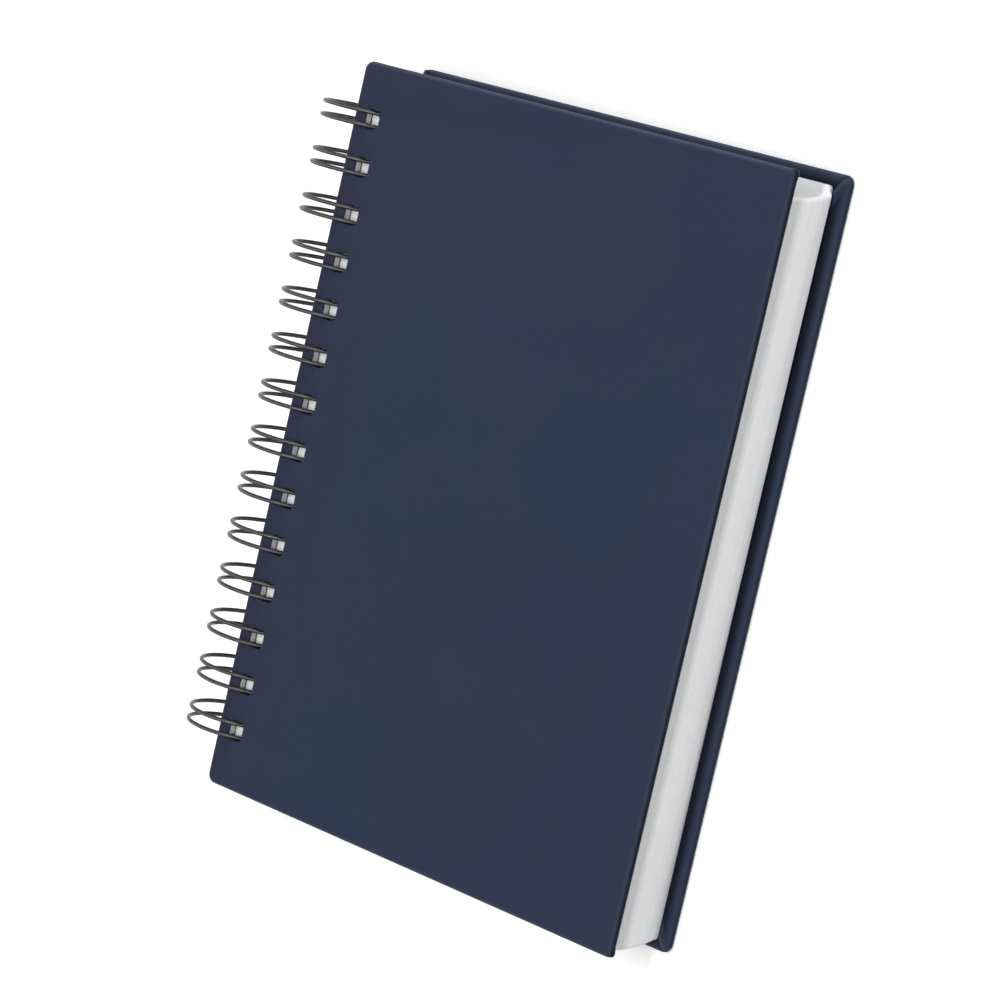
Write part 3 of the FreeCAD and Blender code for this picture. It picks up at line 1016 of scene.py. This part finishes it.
# Geometry node trees
class Repeater(Tree):
    """A geometry node tree with named inputs, put on one object and turned into a plain mesh."""

    def __init__(self, name: str, inputs: dict[str, int | float]) -> None:
        """Makes the tree.

        Args:
            name: the tree's name.
            inputs: each input's value, by name.
        """
        group = bpy.data.node_groups.new(name, "GeometryNodeTree")
        group.interface.new_socket("Geometry", in_out="INPUT", socket_type="NodeSocketGeometry")
        group.interface.new_socket("Geometry", in_out="OUTPUT", socket_type="NodeSocketGeometry")
        self.values: dict[str, int | float] = {}
        for label, value in inputs.items():
            kind = "NodeSocketInt" if isinstance(value, int) else "NodeSocketFloat"
            socket = group.interface.new_socket(label, in_out="INPUT", socket_type=kind)
            self.values[socket.identifier] = value
        super().__init__(group)
        self.source = self.add("NodeGroupInput")

    def __getitem__(self, label: str) -> Value:
        """Gives an input of the tree by its name."""
        return self.source.output(label)

    def store(self, geometry: Value, name: str, value: Value, domain: str = "POINT") -> Value:
        """Keeps a number on the geometry.

        Args:
            geometry: the geometry.
            name: the attribute's name.
            value: the number.
            domain: what it is kept on.

        Returns:
            The geometry with the attribute.
        """
        settings = {"data_type": "FLOAT", "domain": domain}
        inputs = {"Geometry": geometry, "Name": name, "Value": value}
        return self.add("GeometryNodeStoreNamedAttribute", settings, inputs)

    def read(self, name: str, kind: str = "FLOAT") -> Value:
        """Reads a number or vector that is kept on the geometry."""
        return self.add("GeometryNodeInputNamedAttribute", {"data_type": kind}, {"Name": name}, "Attribute")

    def drift(self, where: Value, scale: float, detail: float = 2.0) -> Value:
        """Adds noise along one axis.

        Args:
            where: the place along it.
            scale: how fast it changes.
            detail: octaves.

        Returns:
            The noise, about 0 to 1.
        """
        inputs = {"W": where, "Scale": scale, "Detail": detail}
        return self.add("ShaderNodeTexNoise", {"noise_dimensions": "1D"}, inputs)

    def end(self, geometry: Value, material: bpy.types.Material) -> None:
        """Ends the tree with real geometry and its material.

        Args:
            geometry: what the tree made.
            material: its finish.
        """
        real = self.add("GeometryNodeRealizeInstances", {}, {0: geometry})
        dressed = self.add("GeometryNodeSetMaterial", {}, {"Geometry": real, "Material": material})
        self.add("NodeGroupOutput", {}, {0: dressed})

    def apply(self, thing: bpy.types.Object) -> None:
        """Runs the tree on an object and keeps the result as its mesh.

        Args:
            thing: the object that holds the tree's starting mesh.
        """
        modifier = thing.modifiers.new(self.nodes.name, "NODES")
        modifier.node_group = self.nodes
        for identifier, value in self.values.items():
            modifier[identifier] = value
        bpy.context.view_layer.update()
        graph = bpy.context.evaluated_depsgraph_get()
        mesh = bpy.data.meshes.new_from_object(thing.evaluated_get(graph))
        thing.modifiers.remove(modifier)
        thing.data = mesh


@dataclass
class WireLoops:
    """The binding wire: twin loops bent from one wire, with its seam beside the last leaf."""

    binding: Binding
    ring_steps: int = 96
    bend_steps: int = 10
    round_steps: int = 14
    wobble: float = 0.12 * MM
    # Where the painted highlight line is full, and how fast it fades, by the normal's Y.
    crown: float = 0.46
    crown_fade: float = 0.32

    def turns(self) -> tuple[float, float]:
        """Gives the angles about the loops' axis where a loop starts and where its tip bends."""
        spec = self.binding
        drop = spec.half_inside - spec.seam_clearance - spec.wire_radius
        reach = math.hypot(spec.ring_radius, spec.elbow)
        base = math.atan(spec.elbow / spec.ring_radius) - math.asin(drop / reach)
        side = spec.twin_spacing / 2 + spec.elbow
        space = math.sqrt((side + 2 * spec.wire_radius + spec.seam_clearance) ** 2 - side**2)
        return base, base - space / spec.ring_radius

    def half_path(self) -> list[tuple[Vector, Vector]]:
        """Gives the middle line of half a twin loop, from the seam to the tip, with its radial direction."""
        spec = self.binding
        base, tip = self.turns()
        half = spec.twin_spacing / 2
        path = []

        def place(turn: float, forward: float, y: float) -> None:
            """Adds a point by its angle, its distance along the tangent and its Y."""
            out = Vector((math.cos(turn), 0.0, math.sin(turn)))
            ahead = Vector((-math.sin(turn), 0.0, math.cos(turn)))
            path.append((spec.axis + out * spec.ring_radius + ahead * forward + Vector((0, y, 0)), out))

        place(base, -spec.elbow, spec.pitch / 2)
        for turn in quarter_turn(self.bend_steps):
            place(base, -spec.elbow * math.cos(turn), half + spec.elbow - spec.elbow * math.sin(turn))
        sweep = 2 * math.pi - (base - tip)
        for step in range(1, self.ring_steps + 1):
            place(base + sweep * step / self.ring_steps, 0.0, half)
        for turn in quarter_turn(self.bend_steps)[1:]:
            place(base + sweep, half * math.sin(turn), half * math.cos(turn))
        return path

    def loop_line(self) -> bpy.types.Mesh:
        """Gives the first twin loop's middle line as a mesh of edges."""
        half = self.half_path()
        mirrored = [(Vector((p.x, -p.y, p.z)), out) for p, out in half]
        path = mirrored + half[-2::-1]
        shift = Vector((0.0, self.binding.middles[0], 0.0))
        mesh = bpy.data.meshes.new("loop_line")
        edges = [(index, index + 1) for index in range(len(path) - 1)]
        mesh.from_pydata([p + shift for p, _ in path], edges, [])
        radial = mesh.attributes.new("radial", "FLOAT_VECTOR", "POINT")
        radial.data.foreach_set("vector", [c for _, out in path for c in out])
        return mesh

    def make(self, material: bpy.types.Material) -> None:
        """Builds the row of loops as one tube.

        Args:
            material: the wire's finish.
        """
        spec = self.binding
        names = ("loops", "pitch", "wire_radius", "ring_radius")
        shared = {name: getattr(spec, name) for name in names}
        tree = Repeater("loop_row", {"axis_x": spec.axis.x, "wobble": self.wobble, **shared})
        offset = tree.add("ShaderNodeCombineXYZ", {}, {"Y": tree["pitch"]})
        row = tree.add("GeometryNodeMeshLine", {}, {"Count": tree["loops"], "Offset": offset})
        loops = tree.add("GeometryNodeInstanceOnPoints", {}, {"Points": row, "Instance": tree["Geometry"]})
        real = tree.add("GeometryNodeRealizeInstances", {}, {0: loops})
        line = tree.add("GeometryNodeMergeByDistance", {}, {"Geometry": real, "Distance": 1e-5})
        curve = tree.add("GeometryNodeMeshToCurve", {}, {"Mesh": self.add_wobble(tree, line)})
        bent = {"Curve": curve, "Normal": tree.read("radial", "FLOAT_VECTOR")}
        curve = tree.add("GeometryNodeSetCurveNormal", {"mode": "FREE"}, bent)
        size = {"Resolution": self.round_steps, "Radius": tree["wire_radius"]}
        ring = tree.add("GeometryNodeCurvePrimitiveCircle", {"mode": "RADIUS"}, size)
        swept = {"Curve": curve, "Profile Curve": ring, "Fill Caps": True}
        tree.end(tree.add("GeometryNodeCurveToMesh", {}, swept), material)
        wire = new_object("wire_loops", self.loop_line())
        tree.apply(wire)
        wire.data.shade_smooth()
        # The crown marks the painted highlight line along the inside and outside of each loop.
        rises = [(self.crown - abs(vertex.normal.y)) / self.crown_fade for vertex in wire.data.vertices]
        write_attribute(wire.data, "crown", [smooth(rise) for rise in rises])
        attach(wire, "binding")
        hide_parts("wire_binding")
        log.info("wire loops: %d faces", len(wire.data.polygons))

    def add_wobble(self, tree: Repeater, line: Value) -> Value:
        """Moves each loop a little along the spine, most at its far side, as hand closing leaves it.

        Args:
            tree: the tree.
            line: the wire's middle line.

        Returns:
            The moved line.
        """
        x = tree.add("ShaderNodeSeparateXYZ", {}, {0: tree.add("GeometryNodeInputPosition")})
        loop = (x.output("Y") / tree["pitch"] + 0.5).math("ROUND")
        far = ((tree["axis_x"] - x) / tree["ring_radius"] + 0.2).clamp()
        move = (tree.drift(loop * 3.7, 1.0) - 0.5) * 2 * far * tree["wobble"]
        shift = tree.add("ShaderNodeCombineXYZ", {}, {"Y": move})
        return tree.add("GeometryNodeSetPosition", {}, {"Geometry": line, "Offset": shift})


@dataclass
class LeafStack:
    """The leaves: thin punched sheets whose stack swells over the wire and leans towards the tail."""

    binding: Binding
    sheets: int = 58
    tall: int = 4
    tall_step: float = 2.2 * MM
    tall_recess: float = 0.9 * MM
    eased: int = 4
    eased_step: float = 0.7 * MM
    front_drop: float = 3.5 * MM
    rear_drop: float = 1.1 * MM
    height: float = 187.6 * MM
    inset: float = 3.6 * MM
    recess: float = 2.4 * MM
    bow: float = 0.8 * MM
    hole_margin: float = 3.6 * MM
    hole_width: float = 4.6 * MM
    hole_height: float = 5.4 * MM
    hole_corner: float = 0.5 * MM
    corner: float = 1.1 * MM
    corner_steps: int = 3
    hole_steps: int = 2
    lean_ease: float = 1.7
    slip_scale: float = 0.77
    slip_detail: float = 4.0
    jitter: float = 0.025 * MM
    gap_share: float = 0.01
    seed: int = 11

    def sheet_mesh(self) -> bpy.types.Mesh:
        """Gives one sheet's outline with its holes as a flat mesh at the bottom of the stack."""
        low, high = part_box("front_wrap")
        left, right = low.x + self.inset, high.x - self.recess
        draft = Draft()
        half = self.height / 2
        loops = [rounded_outline(left, right, -half, half, self.corner, self.corner_steps)]
        hole_left = left + self.hole_margin
        for middle in self.binding.middles:
            sides = (hole_left, hole_left + self.hole_width)
            ends = (middle - self.hole_height / 2, middle + self.hole_height / 2)
            loops.append(rounded_outline(*sides, *ends, self.hole_corner, self.hole_steps))
        draft.fill([draft.outline(points) for points in loops])
        for face in draft.bm.faces:
            if face.normal.z < 0:
                face.normal_flip()
        mesh = draft.mesh("sheet", outward=False)
        rim = [1.0 if index < len(loops[0]) else 0.0 for index in range(len(mesh.vertices))]
        write_attribute(mesh, "outer_rim", rim)
        return mesh

    def make(self, material: bpy.types.Material) -> None:
        """Builds the stack.

        Args:
            material: the paper's finish.
        """
        low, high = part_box("page_block")
        names = (
            *("sheets", "tall", "tall_step", "tall_recess", "eased", "eased_step"),
            *("front_drop", "rear_drop", "bow", "jitter", "seed"),
        )
        inputs = {"base": low.z, "depth": high.z - low.z, **{name: getattr(self, name) for name in names}}
        tree = Repeater("leaf_row", inputs)
        pitch = tree["depth"] / tree["sheets"]
        start = tree.add("ShaderNodeCombineXYZ", {}, {"Z": tree["base"]})
        step = tree.add("ShaderNodeCombineXYZ", {}, {"Z": pitch})
        row = {"Count": tree["sheets"], "Start Location": start, "Offset": step}
        index = tree.add("GeometryNodeInputIndex")
        points = tree.store(tree.add("GeometryNodeMeshLine", {}, row), "sheet_index", index)
        points = tree.store(points, "tone", self.tone(tree, index))
        placed = {"Points": points, "Instance": self.thick_sheet(tree, pitch)}
        stack = tree.add("GeometryNodeInstanceOnPoints", {}, placed)
        real = tree.add("GeometryNodeRealizeInstances", {}, {0: stack})
        tree.end(self.lay_out(tree, real), material)
        leaves = new_object("leaf_stack", self.sheet_mesh())
        tree.apply(leaves)
        shade_by_angle(leaves, 40)
        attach(leaves, "binding")
        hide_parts("page_block")
        log.info("leaf stack: %d sheets, %d faces", self.sheets, len(leaves.data.polygons))

    def thick_sheet(self, tree: Repeater, pitch: Value) -> Value:
        """Gives one sheet its thickness, and marks its cut edges.

        Args:
            tree: the tree.
            pitch: the distance from one sheet to the next.

        Returns:
            The closed sheet.
        """
        source, up = tree["Geometry"], tree.add("ShaderNodeCombineXYZ", {}, {"Z": 1.0})
        raised = {"Mesh": source, "Offset": up, "Offset Scale": pitch * (1 - self.gap_share)}
        extruded = tree.add("GeometryNodeExtrudeMesh", {"mode": "FACES"}, {**raised, "Individual": False})
        marked = tree.store(extruded, "cut_edge", extruded.output("Side"), "FACE")
        flipped = tree.add("GeometryNodeFlipFaces", {}, {"Mesh": source})
        joined = tree.add("GeometryNodeJoinGeometry", {}, {0: [flipped, marked]})
        return tree.add("GeometryNodeMergeByDistance", {}, {"Geometry": joined, "Distance": 1e-6})

    @staticmethod
    def tone(tree: Repeater, index: Value) -> Value:
        """Gives each sheet's shade along its cut edge: a few darker lines.

        Args:
            tree: the tree.
            index: the sheet's number, from the back.

        Returns:
            The shade, 0 to 1.
        """
        drift = tree.drift(index * 1.31 + tree["seed"], 0.55, 1.0)
        return ((drift - 0.56) * 6).clamp() * 0.32

    def lay_out(self, tree: Repeater, stack: Value) -> Value:
        """Shifts the sheets: the swell across, the lean along, the tall last sheets and small slips.

        Args:
            tree: the tree.
            stack: the sheets, straight above each other.

        Returns:
            The laid-out stack.
        """
        index, rim = tree.read("sheet_index"), tree.read("outer_rim")
        x = tree.add("ShaderNodeSeparateXYZ", {}, {0: tree.add("GeometryNodeInputPosition")})
        fore = x.math("GREATER_THAN", 0.0)
        head = x.output("Y").math("GREATER_THAN", 0.0)
        share = (index + 0.5) / tree["sheets"]
        swell = (1 - (share * 2 - 1) ** 2) * tree["bow"]
        tall = index.math("LESS_THAN", tree["tall"]) * head
        tall_share = tree["tall"] / tree["sheets"]
        climb = ((share - tall_share) / (1 - tall_share)).clamp()
        eased = 1 - (1 - climb) ** self.lean_ease
        lean = tree["rear_drop"] + (tree["front_drop"] - tree["rear_drop"]) * eased
        places = [index * stretch + tree["seed"] for stretch in (1.0, 2.3)]
        drifts = [tree.drift(place, self.slip_scale, self.slip_detail) for place in places]
        slips = [(drift - 0.5) * 4 * tree["jitter"] for drift in drifts]
        ramp = ((tree["tall"] + tree["eased"] - index) / tree["eased"]).clamp()
        rounded = ramp * ramp * (1 - tall) * head * tree["eased_step"]
        along = (tall * tree["tall_step"] + rounded + slips[1] - lean) * rim
        across = swell + (slips[0] - tall * fore * tree["tall_recess"]) * rim
        offset = tree.add("ShaderNodeCombineXYZ", {}, {"X": across, "Y": along})
        return tree.add("GeometryNodeSetPosition", {}, {"Geometry": stack, "Offset": offset})


# The studio
@dataclass
class Studio:
    """The floor, the light and the camera."""

    focal_pixels: float = 4027.158
    picture: float = 1000.0
    eye: tuple[float, float, float] = (0.677740, 0.124680, 0.771914)
    forward: tuple[float, float, float] = (-0.659431, -0.124625, -0.741364)
    upward: tuple[float, float, float] = (-0.247984, 0.967025, 0.058019)
    floor_size: float = 6.0
    floor_gap: float = 0.05 * MM
    sensor: float = 36.0
    reach: tuple[float, float] = (0.01, 50.0)
    world_strength: float = 0.30

    def make_camera(self) -> None:
        """Sets up the camera at the photograph's angle and framing."""
        data = bpy.data.cameras.new("camera")
        data.sensor_width = self.sensor
        data.lens = self.focal_pixels / self.picture * data.sensor_width
        data.clip_start, data.clip_end = self.reach
        camera = new_object("camera", data)
        back = -Vector(self.forward).normalized()
        across = Vector(self.upward).cross(back).normalized()
        up = back.cross(across)
        turn = Matrix((across, up, back)).transposed().to_4x4()
        camera.matrix_world = Matrix.Translation(Vector(self.eye)) @ turn
        bpy.context.scene.camera = camera

    def make_floor(self) -> None:
        """Lays the floor under the loops and the back cover's fore-edge, which the notebook rests on."""
        binding = Binding()
        low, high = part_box("back_wrap")
        slope = math.atan2(low.z, high.x - binding.axis.x)
        draft = Draft()
        bmesh.ops.create_grid(draft.bm, x_segments=8, y_segments=8, size=self.floor_size / 2)
        mesh = draft.mesh("floor", outward=False)
        tilt = Matrix.Rotation(-slope, 4, "Y")
        mesh.transform(Matrix.Translation((binding.axis.x, 0.0, -self.floor_gap)) @ tilt)
        floor = new_object("floor", mesh)
        floor.data.materials.append(StudioFloor().make())

    def make_lamps(self) -> None:
        """Hangs the lamps: each has a name, a place, a width and length, and a power in watts."""
        lamps = (
            ("key", (0.64, 0.14, 2.02), (1.40, 0.07), 25.0),
            ("panel", (-0.12, 0.05, 1.00), (0.40, 1.00), 0.9),
            ("head", (-0.20, 1.60, 0.45), (0.60, 0.60), 12.0),
            ("side", (1.60, -0.20, 0.50), (0.80, 0.80), 1.8),
        )
        for name, place, (width, length), power in lamps:
            data = bpy.data.lights.new(name, "AREA")
            data.shape = "RECTANGLE"
            data.size, data.size_y = width, length
            data.energy = power
            lamp = new_object(name, data)
            lamp.location = place
            lamp.rotation_mode = "QUATERNION"
            lamp.rotation_quaternion = (-Vector(place)).to_track_quat("-Z", "Y")

    def make_world(self) -> None:
        """Sets a world that is white to the camera and in reflections, and softer as light."""
        world = bpy.data.worlds.new("surroundings")
        world.use_nodes = True
        world.node_tree.nodes.clear()
        tree = Tree(world.node_tree)
        strength = tree.background_share().between(self.world_strength, 1.0)
        sky = tree.add("ShaderNodeBackground", {}, {"Color": (1, 1, 1, 1), "Strength": strength})
        tree.add("ShaderNodeOutputWorld", {}, {"Surface": sky})
        bpy.context.scene.world = world

    def make(self) -> None:
        """Sets up everything round the notebook."""
        bpy.context.scene.view_settings.view_transform = "Standard"
        self.make_camera()
        self.make_floor()
        self.make_lamps()
        self.make_world()
        log.info("studio ready")


def main() -> None:
    """Builds the notebook and its studio."""
    logging.basicConfig(level=logging.INFO, format="%(name)s: %(message)s")
    leatherette = Leatherette().make()
    finishes = {"board": CutBoard().make(), "lining": LiningPaper().make()}
    binding = Binding()
    for side in Side:
        Cover(side, binding).make(leatherette, finishes)
    LeafStack(binding).make(LeafPaper().make())
    WireLoops(binding).make(CoatedWire().make())
    Studio().make()


if __name__ == "__main__":
    main()
